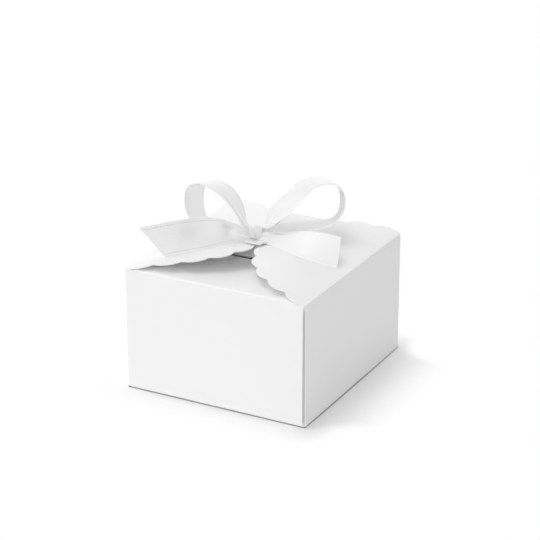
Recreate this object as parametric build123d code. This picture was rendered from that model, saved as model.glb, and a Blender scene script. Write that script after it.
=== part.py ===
from build123d import *
import math
import os

os.makedirs("parts", exist_ok=True)

# Card box in millimetres. The front wall faces -Y, and the box stands on z = 0.
width = 70.0
depth = 75.5
height = 45.0
card = 0.4
crease_gap = 0.05       # air between a flap's rounded crease and the wall under it
layer_gap = 0.05        # air between the card layers of the base

# Two scalloped lid flaps, hinged on the left and right walls.
scallops = 11
scallop_height = 2.2
tip_scallop = 1.25      # flatter at the tips, where the two flaps meet
lid_corner_gap = 0.7    # the crease stops this far short of the box corner
lid_shoulder = 1.75     # the row of notches starts this far inside the crease's ends
lid_tip_gap = 0.95      # between the two tips
lid_tilt = 6.1          # the closed flaps lean up to each other like a low roof
lid_bow = 1.45          # and bend up by this much at the middle
hole_setback = 6.7      # punched hole for the ribbon, from the tip to its centre
hole_diameter = 6.0

# Two plain flaps under the lid, hinged lower on the front and rear walls.
inner_step = 0.5
inner_meet_gap = 2.0
inner_sag = 5.7
inner_bow = 0.3
inner_side_gap = 1.2
inner_taper = 18.0
inner_corner = 4.0

# Snap-lock base: rear flap on top, side flaps between, front flap lowest.
base_side_gap = 0.3
base_front_reach = 2.0  # past the middle of the box
base_front_taper = 9.0
base_rear_reach = 5.0   # past the middle, the other way
base_rear_taper = 5.0
base_side_ends = 3.0
base_side_taper = 14.0
tongue_width = 22.0
tongue_length = 11.0
tongue_ramp = 3.0
tongue_corner = 3.0
notch_gap = 1.0

# Glued seam at the nearest corner: the front wall's cut edge laps over the right wall's glue tab.
seam_setback = 0.25     # the cut edge stops this far short of the right wall's face
seam_fold = 0.35        # outer radius of the fold behind it
tab_width = 12.0
tab_foot = 3.0
tab_headroom = 4.0
tab_taper = 3.0

# Satin ribbon.
ribbon_width = 12.0
ribbon_thick = 0.3
throat_thick = 0.6      # the gathered ribbon beside the knot
strap_width = 4.0       # the gathered ribbon in the holes
strap_thick = 0.4
strap_gap = 0.15        # air between the strap and the flap tips
strap_y = -0.5          # the strap runs a little in front of the middle
knot_x = -3.0
knot_y = -2.1
knot_turn = 22.0        # the bow faces the front right
knot_radius = 2.5
knot_rim = 2.1          # radius where the knot's sides roll in
knot_width = 4.8
knot_gap = 0.02         # air between the knot and what it is tied round


def sine(degrees):
    return math.sin(math.radians(degrees))


def cosine(degrees):
    return math.cos(math.radians(degrees))


lid_axis_x = width / 2 - card / 2
lid_axis_z = height - card / 2
lid_reach = (lid_axis_x - lid_tip_gap / 2) / cosine(lid_tilt)
lid_length = lid_reach + tip_scallop     # bent card before the scallops are cut
inner_axis_y = depth / 2 - card / 2
inner_axis_z = lid_axis_z - inner_step
inner_reach = (inner_axis_y - inner_meet_gap / 2) / cosine(inner_sag)
inner_top = inner_axis_z - card / 2 - crease_gap
lid_wall_top = lid_axis_z - card / 2 - crease_gap
inside_x = width / 2 - card
inside_y = depth / 2 - card
base_layer = card + layer_gap
hole_reach = lid_reach - hole_setback
hole_x = lid_axis_x - hole_reach * cosine(lid_tilt)


# Height of a closed lid flap's middle over the plan place x.
def lid_middle(x):
    reach = (lid_axis_x - abs(x)) / cosine(lid_tilt)
    share = reach / lid_length
    return lid_axis_z + reach * sine(lid_tilt) + 4 * lid_bow * share * (1 - share)


# The strap lies over and under the stretch of the flaps from the holes to the tips.
tip_heights = [lid_middle(hole_x * i / 10) for i in range(1, 11)]
strap_top = max(tip_heights) + card / 2 + 2 * strap_gap + strap_thick
strap_low = min(tip_heights) - card / 2 - 2 * strap_gap - strap_thick
knot_centre = Vector(knot_x, knot_y, strap_top + knot_gap + knot_radius)
knot_axis = Vector(cosine(knot_turn), sine(knot_turn), 0)
knot_across = Vector(-sine(knot_turn), cosine(knot_turn), 0)
knot_side = knot_width / 2 + knot_gap


# A wall on the -Y side. Each end has a place on the outer and one on the inner face.
def wall_panel(start, end, distance, top):
    plan = make_face(Polyline((start[0], 0), (end[0], 0), (end[1], card), (start[1], card), close=True))
    return Pos(0, -distance, 0) * extrude(plan, amount=top)


# Mitred wall end, which meets the next wall on their crease.
def mitre(half_length):
    return (half_length, half_length - card)


def mitred_wall(length, distance, top):
    end = mitre(length / 2)
    return wall_panel((-end[0], -end[1]), end, distance, top)


# The wall with the cut edge of the seam.
def seam_wall():
    left = mitre(width / 2)
    cut = width / 2 - seam_setback
    return wall_panel((-left[0], -left[1]), (cut, cut), depth / 2, inner_top)


# The wall that folds into the glue tab behind the cut edge.
def tab_wall():
    panel = wall_panel((-inside_y, -inside_y), mitre(depth / 2), width / 2, lid_wall_top)
    fold = panel.edges().filter_by(Axis.Z).group_by(Axis.X)[0].sort_by(Axis.Y)[0]
    return Rot(0, 0, 90) * fillet(fold, seam_fold)


# Card that leaves its crease along +X, bends up by the bow and ends in a full round on the crease.
def bowed_card(reach, bow, half_width):
    radius = (reach ** 2 / 4 + bow ** 2) / (2 * bow)
    spread = math.asin(reach / 2 / radius)

    def on_arc(offset, angle):
        distance = radius + offset
        return (reach / 2 + distance * math.sin(angle), bow - radius + distance * math.cos(angle))

    half = card / 2
    round_end = (-half * math.cos(spread), -half * math.sin(spread))
    profile = make_face([
        ThreePointArc(on_arc(half, -spread), on_arc(half, 0), on_arc(half, spread)),
        Line(on_arc(half, spread), on_arc(-half, spread)),
        ThreePointArc(on_arc(-half, spread), on_arc(-half, 0), on_arc(-half, -spread)),
        ThreePointArc(on_arc(-half, -spread), round_end, on_arc(half, -spread)),
    ])
    return extrude(Plane.XZ * profile, amount=half_width, both=True)


# Half round on its crease, its rim a row of scallops with their notches on one ellipse.
def scalloped_outline():
    half_crease = depth / 2 - lid_corner_gap
    step = 180 / scallops
    notch_u = (lid_reach - tip_scallop) / cosine(step / 2)
    notch_v = half_crease - lid_shoulder
    notches = [(notch_u * sine(i * step), -notch_v * cosine(i * step)) for i in range(1, scallops)]
    rim = [(0, -half_crease)] + notches + [(0, half_crease)]
    rises = [tip_scallop if i == scallops // 2 else scallop_height for i in range(scallops)]
    edges = [SagittaArc(start, end, -rise) for start, end, rise in zip(rim, rim[1:], rises)]
    crease = Polyline((0, half_crease), (-card, half_crease), (-card, -half_crease), (0, -half_crease))
    return make_face(edges + [crease])


def lid_flap():
    bent = bowed_card(lid_length, lid_bow, depth / 2)
    blank = extrude(scalloped_outline(), amount=lid_reach / 4, both=True)
    hole = Pos(hole_reach, 0, 0) * Cylinder(hole_diameter / 2, lid_reach / 2)
    return (bent & blank) - hole


def inner_flap():
    base = width / 2 - inner_side_gap
    tip = base - inner_reach * math.tan(math.radians(inner_taper))
    outline = make_face(Polyline(
        (-card, -base), (0, -base), (inner_reach, -tip),
        (inner_reach, tip), (0, base), (-card, base), close=True))
    outline = fillet(outline.vertices().group_by(Axis.X)[-1], inner_corner)
    bent = bowed_card(inner_reach, inner_bow, width / 2)
    return bent & extrude(outline, amount=inner_reach / 4, both=True)


# Lowest base flap. Its tongue climbs through the rear flap's notch and lies on that flap.
def base_front():
    wide = inside_x - base_side_gap
    narrow = wide - base_front_taper
    panel = make_face(Polyline(
        (-wide, -inside_y), (wide, -inside_y), (wide, -inside_y / 2), (narrow, base_front_reach),
        (-narrow, base_front_reach), (-wide, -inside_y / 2), close=True))
    rise = 3 * base_layer
    top_y = base_front_reach + tongue_ramp
    end_y = base_front_reach + tongue_length
    side = make_face(Polyline(
        (base_front_reach, 0), (top_y, rise), (end_y, rise), (end_y, rise + card),
        (top_y, rise + card), (base_front_reach, card), close=True))
    tongue = extrude(Plane.YZ * side, amount=tongue_width / 2, both=True)
    ends = tongue.edges().filter_by(Axis.Z).group_by(Axis.Y)[-1]
    return extrude(panel, amount=card) + fillet(ends, tongue_corner)


def base_rear():
    wide = inside_x - base_side_gap
    narrow = wide - base_rear_taper
    notch_x = tongue_width / 2 + notch_gap
    notch_y = base_front_reach + tongue_ramp + notch_gap / 2
    panel = make_face(Polyline(
        (wide, inside_y), (wide, inside_y / 3), (narrow, -base_rear_reach), (notch_x, -base_rear_reach),
        (notch_x, notch_y), (-notch_x, notch_y), (-notch_x, -base_rear_reach), (-narrow, -base_rear_reach),
        (-wide, inside_y / 3), (-wide, inside_y), close=True))
    return Pos(0, 0, 2 * base_layer) * extrude(panel, amount=card)


def base_side():
    wide = inside_y - base_side_ends
    narrow = wide - base_side_taper
    end_x = tongue_width / 2 + 2 * notch_gap
    panel = make_face(Polyline(
        (inside_x, -wide), (inside_x, wide), (end_x, narrow), (end_x, -narrow), close=True))
    return Pos(0, 0, base_layer) * extrude(panel, amount=card)


def glue_tab():
    free_x = inside_x - tab_width
    tab_head = height - tab_headroom
    face = make_face(Polyline(
        (inside_x, tab_foot), (inside_x, tab_head), (free_x, tab_head - tab_taper),
        (free_x, tab_foot + tab_taper), close=True))
    return Pos(0, -inside_y, 0) * extrude(Plane.XZ * face, amount=-card)


# Gathered ribbon through both holes: a flat ring round the two flap tips.
def ribbon_strap():
    tall = strap_top - strap_low
    outer = RectangleRounded(2 * hole_x + strap_thick, tall, strap_thick)
    inner = RectangleRounded(2 * hole_x - strap_thick, tall - 2 * strap_thick, strap_thick / 4)
    ring = Plane.XZ * (Pos(0, strap_top - tall / 2) * (outer - inner))
    return Pos(0, strap_y, 0) * extrude(ring, amount=strap_width / 2, both=True)


# The knot is a short roll of ribbon, fuller in the middle than at its rims.
def bow_knot():
    half = knot_width / 2
    roll = 0.7 * half
    face = knot_rim - throat_thick
    bend = (0.92 * half, knot_rim - 0.25 * throat_thick)
    profile = make_face([
        Polyline((-half, face), (-half, 0), (half, 0), (half, face)),
        ThreePointArc((half, face), bend, (roll, knot_rim)),
        ThreePointArc((roll, knot_rim), (0, knot_radius), (-roll, knot_rim)),
        ThreePointArc((-roll, knot_rim), (-bend[0], bend[1]), (-half, face)),
    ])
    return Pos(knot_centre) * Rot(0, 0, knot_turn) * revolve(profile, Axis.X)


# A place beside the knot: along its axis, across it and up from its centre.
def by_knot(along, across, rise):
    return knot_centre + knot_axis * along + knot_across * across + Vector(0, 0, rise)


# Near and far edge of a gathered run at the knot, and the way it leaves there.
def throat(near, far):
    way = knot_axis if far[0] > 0 else -knot_axis
    return by_knot(*near), by_knot(*far), way


# A run of ribbon is lofted through its stations, each the near and the far edge of the ribbon there.
# Where the ribbon is gathered narrower than its width, it is thicker.
def ribbon_run(edges, first_along, last_along=None):
    middles = [(near + far) / 2 for near, far in edges]
    alongs = [after - before for before, after in zip(middles, middles[2:])]
    alongs = [first_along] + alongs + [last_along or middles[-1] - middles[-2]]
    sections = []
    for (near, far), along in zip(edges, alongs):
        across = far - near
        thick = min(throat_thick, ribbon_thick * ribbon_width / across.length)
        half = across.cross(along).normalized() * (thick / 2)
        sections.append(make_face(Polyline(near - half, far - half, far + half, near + half, close=True)))
    return loft(sections)


# Loop stations stand over the strap's top, tail stations over the lid flap under them.
def loop_run(leaving, stations, returning):
    edges = [tuple(Vector(x, y, strap_top + z) for x, y, z in pair) for pair in stations]
    return ribbon_run([leaving[:2]] + edges + [returning[:2]], leaving[2], -returning[2])


def tail_run(leaving, stations):
    edges = [tuple(Vector(x, y, lid_middle(x) + card / 2 + z) for x, y, z in pair) for pair in stations]
    return ribbon_run([leaving[:2]] + edges, leaving[2])


left_loop_stations = [
    ((-7.4, -5.3, 8.3), (-8.8, 2.2, 8.3)),
    ((-12.4, -6.2, 13.4), (-12.9, 4.8, 11.1)),
    ((-19.5, -6.8, 17.7), (-18.7, 4.8, 15.7)),
    ((-25.1, -7.3, 18.4), (-24.2, 4.3, 15.8)),
    ((-27.8, -7.5, 16.2), (-26.7, 4.2, 13.4)),
    ((-28.5, -7.6, 12.5), (-27.3, 3.9, 9.7)),
    ((-26.7, -8.0, 5.7), (-25.9, 3.3, 2.9)),
    ((-19.5, -7.3, 2.6), (-18.9, 3.2, 0.8)),
    ((-10.9, -4.6, 2.6), (-10.5, 1.6, 1.9)),
]
right_loop_stations = [
    ((3.9, -0.6, 6.3), (-2.4, 5.8, 6.7)),
    ((9.0, 3.2, 10.8), (0.0, 11.4, 11.4)),
    ((13.3, 8.6, 17.0), (4.3, 16.7, 16.5)),
    ((18.1, 13.1, 19.0), (9.5, 21.2, 17.4)),
    ((22.4, 15.1, 16.6), (15.0, 24.2, 15.1)),
    ((23.8, 14.3, 11.4), (17.0, 24.1, 10.7)),
    ((22.2, 11.1, 6.4), (17.2, 21.0, 5.1)),
    ((14.2, 5.6, 3.2), (7.5, 15.3, 2.6)),
    ((5.7, 2.4, 1.8), (0.5, 9.6, 2.1)),
]
left_tail_stations = [
    ((-8.0, -7.9, 0.3), (-9.6, -7.6, 7.7)),
    ((-14.0, -17.1, 0.3), (-17.8, -13.6, 10.4)),
    ((-19.1, -22.6, 0.3), (-22.6, -19.7, 11.3)),
    ((-24.8, -27.7, 0.3), (-34.3, -28.5, 11.4)),
]
right_tail_stations = [
    ((6.4, -5.4, 0.5), (3.9, -0.4, 3.3)),
    ((13.4, -7.6, 0.5), (9.4, 1.3, 4.2)),
    ((19.8, -8.5, 0.5), (16.7, 1.3, 6.4)),
    ((30.9, -6.3, 0.5), (28.0, 2.8, 7.6)),
]
left_loop_throats = [
    throat((-knot_side, -0.25, 0.9), (-knot_side, 1.25, 0.9)),
    throat((-knot_side, -0.25, 0.0), (-knot_side, 1.25, 0.0)),
]
right_loop_throats = [
    throat((knot_side, -0.3, 0.95), (knot_side, 1.2, 0.95)),
    throat((knot_side, -0.1, 0.1), (knot_side, 1.3, 0.1)),
]
left_tail_throat = throat((-knot_side, -1.8, -2.0), (-knot_side, -1.2, 1.4))
right_tail_throat = throat((knot_side - 1.6, -2.4, -2.0), (knot_side + 0.4, -2.0, -0.2))

left_lid = Pos(-lid_axis_x, 0, lid_axis_z) * Rot(0, -lid_tilt, 0) * lid_flap()
front_inner = Pos(0, -inner_axis_y, inner_axis_z) * Rot(0, 0, 90) * Rot(0, inner_sag, 0) * inner_flap()
right_base = base_side()
strap = ribbon_strap()
half_turn = Rot(0, 0, 180)

pieces = {
    "front_wall": seam_wall(),
    "rear_wall": half_turn * mitred_wall(width, depth / 2, inner_top),
    "right_wall": tab_wall(),
    "left_wall": Rot(0, 0, -90) * mitred_wall(depth, width / 2, lid_wall_top),
    "glue_tab": glue_tab(),
    "base_rear_flap": base_rear(),
    "base_right_flap": right_base,
    "base_left_flap": half_turn * right_base,
    "base_front_flap": base_front(),
    "front_inner_flap": front_inner,
    "rear_inner_flap": half_turn * front_inner,
    "left_lid_flap": left_lid,
    "right_lid_flap": half_turn * left_lid,
    "ribbon_strap": strap,
    "bow_knot": bow_knot(),
    "left_loop": loop_run(left_loop_throats[0], left_loop_stations, left_loop_throats[1]),
    "right_loop": loop_run(right_loop_throats[0], right_loop_stations, right_loop_throats[1]),
    "left_tail": tail_run(left_tail_throat, left_tail_stations),
    "right_tail": tail_run(right_tail_throat, right_tail_stations),
}

for name, shape in pieces.items():
    export_step(shape, "parts/" + name + ".step")
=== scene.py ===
import bpy
import bmesh
import math
import numpy as np
from mathutils import Matrix, Vector


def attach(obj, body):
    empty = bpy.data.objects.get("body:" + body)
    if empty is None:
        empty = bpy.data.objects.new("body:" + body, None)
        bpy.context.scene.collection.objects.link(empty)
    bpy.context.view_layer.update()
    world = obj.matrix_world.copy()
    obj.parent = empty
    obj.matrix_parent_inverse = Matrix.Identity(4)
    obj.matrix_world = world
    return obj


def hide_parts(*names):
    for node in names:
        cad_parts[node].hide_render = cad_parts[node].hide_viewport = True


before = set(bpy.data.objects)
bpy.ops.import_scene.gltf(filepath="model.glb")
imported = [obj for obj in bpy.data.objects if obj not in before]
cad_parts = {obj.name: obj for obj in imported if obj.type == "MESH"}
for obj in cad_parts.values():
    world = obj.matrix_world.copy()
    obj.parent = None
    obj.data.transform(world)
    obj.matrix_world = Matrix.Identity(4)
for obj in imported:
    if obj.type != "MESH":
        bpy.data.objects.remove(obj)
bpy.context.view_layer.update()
mm = 0.001
weld, sliver = 1e-7, 1e-8       # metres: points that are one, edges that are none
print("frame loaded:", len(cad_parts), "CAD nodes")


class Wire:     # one node socket, so that node maths reads as plain Python
    def __init__(self, board, socket):
        self.board, self.socket = board, socket

    def out(self, name):    # another output of the same node
        return Wire(self.board, self.socket.node.outputs[name])

    def maths(self, operation, *others):
        return self.board.maths(operation, self, *others)

    def __add__(self, other): return self.maths("ADD", other)
    def __radd__(self, other): return self.maths("ADD", other)
    def __sub__(self, other): return self.maths("SUBTRACT", other)
    def __rsub__(self, other): return self.board.maths("SUBTRACT", other, self)
    def __mul__(self, other): return self.maths("MULTIPLY", other)
    def __truediv__(self, other): return self.maths("DIVIDE", other)
    def __rtruediv__(self, other): return self.board.maths("DIVIDE", other, self)
    def __neg__(self): return self.maths("MULTIPLY", -1)
    def __abs__(self): return self.maths("ABSOLUTE")

    def sine(self): return self.maths("SINE")
    def cosine(self): return self.maths("COSINE")
    def root(self): return self.maths("SQRT")
    def floor(self): return self.maths("FLOOR")
    def fraction(self): return self.maths("FRACT")
    def smaller(self, other): return self.maths("MINIMUM", other)
    def larger(self, other): return self.maths("MAXIMUM", other)
    def above(self, other): return self.maths("GREATER_THAN", other)


class NodeBoard:        # a node tree and the one way nodes are put on it
    def __init__(self, tree):
        self.tree = tree

    def add(self, kind, settings=None, sockets=None, out=0):
        node = self.tree.nodes.new(kind)
        for name, value in (settings or {}).items():
            setattr(node, name, value)
        for key, value in (sockets or {}).items():
            if isinstance(value, Wire):
                self.tree.links.new(value.socket, node.inputs[key])
            else:
                node.inputs[key].default_value = value
        return Wire(self, node.outputs[out]) if len(node.outputs) else node

    def maths(self, operation, *values):
        return self.add("ShaderNodeMath", {"operation": operation}, dict(enumerate(values)))

    def blendColour(self, share, first, second):
        return self.add("ShaderNodeMix", {"data_type": "RGBA"}, {0: share, 6: first, 7: second}, out=2)

    def band(self, value, low, high):       # 0 below low, 1 above high
        sockets = {"Value": value, "From Min": low, "From Max": high}
        return self.add("ShaderNodeMapRange", {"interpolation_type": "SMOOTHSTEP"}, sockets)

    def noise(self, where, size, detail):
        return self.add("ShaderNodeTexNoise", None, {"Vector": where, "Scale": 1 / size, "Detail": detail})

    def mark(self, name):       # a value that the mesh carries at its points
        return self.add("ShaderNodeAttribute", {"attribute_name": name}, out="Fac")


def addObject(name, data):
    item = bpy.data.objects.new(name, data)
    bpy.context.scene.collection.objects.link(item)
    return item


def newMaterial(name):
    material = bpy.data.materials.new(name)
    material.use_nodes = True
    material.node_tree.nodes.clear()
    return material, NodeBoard(material.node_tree)


# card and ribbon finishes
def grey(level):
    return level, level, level, 1


def blend(parts, value):        # a fixed part and a part that follows the value
    return parts[0] + value * parts[1]


cardLook = {
    "white": (0.955, 0.955, 0.953, 1), "shade": (0.935, 0.935, 0.933, 1),
    # seam: greyer raw board edge, painted darker still as shade in the glued seam's groove
    "cutEdge": (0.86, 0.855, 0.845, 1), "seam": (0.54, 0.54, 0.535, 1),
    "cloudSize": 16 * mm, "cloudShare": 0.7, "toothShare": 0.3, "cutShare": 0.6,
    "toothSize": 0.30 * mm, "toothDepth": 0.010 * mm, "cutTooth": 2, "bump": 0.35,
    "roughness": 0.46, "toothRough": 0.12, "creaseRough": 0.10, "cutRough": 0.25, "gloss": 0.38,
}


def makeCard():
    material, board = newMaterial("whiteCard")
    where = board.add("ShaderNodeTexCoord", out="Object")
    cloud = board.noise(where, cardLook["cloudSize"], 3)
    tooth = board.noise(where, cardLook["toothSize"], 4)
    crease = board.mark("crease")       # folded stretches
    cutEdge = board.mark("cutEdge")     # die-cut rims
    seam = board.mark("seam")           # greyer raw board edge and painted shade in the glued seam's groove
    mottle = cloud * cardLook["cloudShare"] + tooth * cardLook["toothShare"]
    white = board.blendColour(mottle, cardLook["shade"], cardLook["white"])
    edged = board.blendColour(cutEdge * cardLook["cutShare"], white, cardLook["cutEdge"])
    # painted shade in the glued seam's groove, over the greyer raw edge
    colour = board.blendColour(seam, edged, cardLook["seam"])
    roughness = (cardLook["roughness"] + (tooth - 0.5) * cardLook["toothRough"] + crease * cardLook["creaseRough"]
                 + cutEdge * cardLook["cutRough"])
    height = tooth + cutEdge * tooth * cardLook["cutTooth"] + crease * tooth
    normal = board.add("ShaderNodeBump", None, {
        "Strength": cardLook["bump"], "Distance": cardLook["toothDepth"], "Height": height})
    shader = board.add("ShaderNodeBsdfPrincipled", None, {
        "Base Color": colour, "Roughness": roughness, "Normal": normal, "Specular IOR Level": cardLook["gloss"]})
    board.add("ShaderNodeOutputMaterial", None, {"Surface": shader})
    return material


satinLook = {
    "white": grey(0.915), "shade": grey(0.865), "back": grey(0.895),
    # groove: the dashed selvage line, a woven line painted darker as the shade in its groove
    # lit and dim: the painted light and the painted shade on the ribbon
    "groove": grey(0.58), "lit": grey(0.98), "dim": grey(0.62),
    "warp": 0.16 * mm, "weft": 0.85 * mm, "warpStep": 0.4,      # each warp thread steps on by two fifths
    "dip": (0.36, 0.5), "dipDepth": 0.7, "rib": 0.34 * mm, "selvage": 1.15 * mm, "selvageFade": 0.9,
    "dash": 1.0 * mm, "dashEnds": (0.12, 0.30), "dashShare": (0.35, 0.65),
    "line": (0.03 * mm, 0.16 * mm), "lineFace": (0.2, 0.8), "lineDark": 0.75, "lineDeep": 0.8,
    "slubSize": 2.2 * mm, "cloudSize": 6 * mm, "mottle": (0.45, 0.35, 0.2), "backSlub": (0.5, 0.5),
    "grainSize": 0.4 * mm, "grain": (0.3, 0.6), "threadDepth": 0.03 * mm, "bump": 0.30,
    "roughness": 0.40, "slubRough": 0.10, "selvageRough": 0.16, "weaveRough": -0.05, "backRough": 0.15,
    "gloss": 0.42, "sheen": 0.12, "sheenRough": 0.35, "glowDepth": 0.25 * mm,
}


def makeSatin(width):
    look = satinLook
    material, board = newMaterial("whiteSatin")
    cloth = board.add("ShaderNodeUVMap", {"uv_map": "weave"})
    across = board.add("ShaderNodeSeparateXYZ", None, {0: cloth}, out="X")      # metres over the flat ribbon
    along = across.out("Y")
    back = board.mark("back")       # the duller side
    where = board.add("ShaderNodeTexCoord", out="Object")
    slub = board.noise(cloth, look["slubSize"], 3)
    cloud = board.noise(where, look["cloudSize"], 2)
    grain = board.noise(cloth, look["grainSize"], 2)

    # satin floats inside, a ribbed edge, and a dashed line between them
    thread = across / look["warp"]
    float5 = along / look["weft"] + thread.floor() * look["warpStep"]
    dip = board.band(abs(float5.fraction() - 0.5), *look["dip"])
    satin = abs((thread * math.pi).sine()) * (1 - dip * look["dipDepth"])
    edge = across.smaller(width - across)
    ribs = abs((along * (math.pi / look["rib"])).sine())
    inSelvage = 1 - board.band(edge, look["selvage"] * look["selvageFade"], look["selvage"])
    weave = satin * (1 - inSelvage) + ribs * inSelvage
    dash = board.band(abs((along / look["dash"]).fraction() - 0.5), *look["dashEnds"])
    line = 1 - board.band(abs(edge - look["selvage"]), *look["line"])
    line = line * blend(look["dashShare"], dash) * blend(look["lineFace"], back)

    cloudShare, weaveShare, slubShare = look["mottle"]
    mottle = cloud * cloudShare + weave * weaveShare + slub * slubShare
    white = board.blendColour(mottle, look["shade"], look["white"])
    dull = board.blendColour(back * blend(look["backSlub"], slub), white, look["back"])
    paintedLightAndGrain = board.mark("paintedLightAndGrain") + (grain - 0.5) * blend(look["grain"], back)      # painted light and shade over the creases and runs, plus random grain
    lit = board.blendColour(paintedLightAndGrain.larger(0), dull, look["lit"])
    dimmed = board.blendColour((-paintedLightAndGrain).larger(0), lit, look["dim"])
    # the dashed selvage line, painted darker as the shade in its groove
    colour = board.blendColour(line * look["lineDark"], dimmed, look["groove"])
    roughness = (look["roughness"] + (slub - 0.5) * look["slubRough"] + inSelvage * look["selvageRough"]
                 + weave * look["weaveRough"] + back * look["backRough"])
    normal = board.add("ShaderNodeBump", None, {
        "Strength": look["bump"], "Distance": look["threadDepth"], "Height": weave - line * look["lineDeep"]})
    shader = board.add("ShaderNodeBsdfPrincipled", None, {
        "Base Color": colour, "Roughness": roughness, "Normal": normal, "Specular IOR Level": look["gloss"],
        "Sheen Weight": look["sheen"], "Sheen Roughness": look["sheenRough"],
        "Subsurface Weight": 1.0, "Subsurface Radius": (1, 1, 1), "Subsurface Scale": look["glowDepth"]})
    board.add("ShaderNodeOutputMaterial", None, {"Surface": shader})
    return material


# sizes that the pieces share, in millimetres and degrees
box = {
    "width": 70.0, "depth": 75.5, "height": 45.0, "card": 0.4, "lidTilt": 6.1, "lidTipGap": 0.95, "lidBow": 1.45,
    "scallopHeight": 2.2, "tipScallop": 1.25, "innerStep": 0.5, "ribbon": 12.0,
    "creaseMark": 0.9, "sharpFrom": 38,
}
halfWidth, halfDepth, halfCard = box["width"] / 2, box["depth"] / 2, box["card"] / 2
lidAxisX = halfWidth - halfCard
lidAxisZ = box["height"] - halfCard
innerAxisY = halfDepth - halfCard
innerAxisZ = lidAxisZ - box["innerStep"]
tilt = math.radians(box["lidTilt"])
lidReach = (lidAxisX - box["lidTipGap"] / 2) / math.cos(tilt)
lidLength = lidReach + box["tipScallop"]

whiteCard = makeCard()
whiteSatin = makeSatin(box["ribbon"] * mm)


def dress(piece, material):     # one material, smooth but for the true edges
    piece.data.materials.clear()
    piece.data.materials.append(material)
    piece.data.shade_smooth()
    piece.data.set_sharp_from_angle(angle=math.radians(box["sharpFrom"]))
    return piece


def addPiece(mesh, welded):     # normals outwards, and into the scene
    form = bmesh.new()
    form.from_mesh(mesh)
    if welded:
        bmesh.ops.remove_doubles(form, verts=form.verts, dist=weld)
        bmesh.ops.dissolve_degenerate(form, edges=form.edges, dist=sliver)
    bmesh.ops.recalc_face_normals(form, faces=form.faces)
    form.to_mesh(mesh)
    form.free()
    return addObject(mesh.name, mesh)


def place(name, points, faces, marks, weave=None):      # points in millimetres
    mesh = bpy.data.meshes.new(name)
    mesh.from_pydata([Vector(p) * mm for p in points], [], faces)
    for markName, values in marks.items():
        mesh.attributes.new(markName, "FLOAT", "POINT").data.foreach_set("value", values)
    if weave:
        layer = mesh.uv_layers.new(name="weave")
        for loop in mesh.loops:
            layer.data[loop.index].uv = Vector(weave[loop.vertex_index]) * mm
    return addPiece(mesh, True)


def sheetFaces(rows, count, closed):        # a grid of points, its underside, and the rims between them
    under = rows * count
    faces = []
    for r in range(rows if closed else rows - 1):
        n = (r + 1) % rows
        for c in range(count - 1):
            quad = [r * count + c, r * count + c + 1, n * count + c + 1, n * count + c]
            faces += [quad, [under + v for v in reversed(quad)]]
        for c in (0, count - 1):
            faces.append([r * count + c, n * count + c, under + n * count + c, under + r * count + c])
    for r in () if closed else (0, rows - 1):
        faces += [[r * count + c, r * count + c + 1, under + r * count + c + 1, under + r * count + c]
                  for c in range(count - 1)]
    return faces


def runLengths(points):     # distance from the first point to each
    return np.concatenate([[0], np.cumsum([(b - a).length for a, b in zip(points, points[1:])])])


def keep(piece, body, node):
    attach(piece, body)
    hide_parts(node)


def ease(value, low, high):     # 0 below low, 1 above high
    share = min(1, max(0, (value - low) / (high - low)))
    return share * share * (3 - 2 * share)


# the four walls: card with rounded creases, and the glued seam at the nearest corner
wall = {
    "crease": 0.5, "fold": 0.4, "creaseSteps": 5, "bow": 0.10, "rows": 16, "columns": 28,
    "foot": 0.3, "footTurn": 75, "footSteps": 6, "footLevels": (0.1, 0.35, 0.8, 1.5),
    "flare": 0.18, "flareHeight": 1.0,
    "seam": 0.78, "seamDepth": 0.36, "seamSetback": 0.25, "seamSteps": (0.05, 0.3, 0.55, 0.8, 1.0),
    "seamTop": (1.4, 0.4), "seamFoot": (0.2, 1.2),      # the seam closes at its ends
    "shoulder": (31.6, 32.6), "shoulderHeight": 4, "foldRise": 0.3, "cornerRise": 0.1, "topMark": 0.8,
}


def wallPlan(half, corner):     # half a wall's outer line from its middle: along, depth, normal, crease, groove
    count = wall["columns"] // 2
    radius = {"mitre": wall["crease"], "fold": wall["fold"], "cut": wall["seam"]}[corner]
    turn = {"mitre": 45, "fold": 90, "cut": 0}[corner]
    end = {"mitre": half, "fold": half - box["card"], "cut": half - wall["seamSetback"]}[corner] - radius
    plan = [(end * math.sin(math.pi / 2 * i / count), 0.0, 0.0, 0.0, 0.0) for i in range(count + 1)]
    if corner == "cut":
        return plan + [(end + radius * share, 0.0, 0.0, 0.0, share) for share in wall["seamSteps"]]
    for i in range(1, wall["creaseSteps"] + 1):
        angle = math.radians(turn * i / wall["creaseSteps"])
        plan.append((end + radius * math.sin(angle), radius * (1 - math.cos(angle)), angle, 1.0, 0.0))
    return plan


def wallLevels(top, bottom):        # height, tuck under the box, turn of the foot
    turns = [math.radians(wall["footTurn"] * i / wall["footSteps"]) for i in range(wall["footSteps"], -1, -1)]
    levels = [(bottom - wall["foot"] * math.sin(a), wall["foot"] * (1 - math.cos(a)), a) for a in turns]
    levels += [(bottom + step, 0.0, 0.0) for step in wall["footLevels"]]
    last = wall["footLevels"][-1]
    return levels + [(bottom + last + (top - bottom - last) * i / wall["rows"], 0.0, 0.0)
                     for i in range(1, wall["rows"] + 1)]


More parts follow.
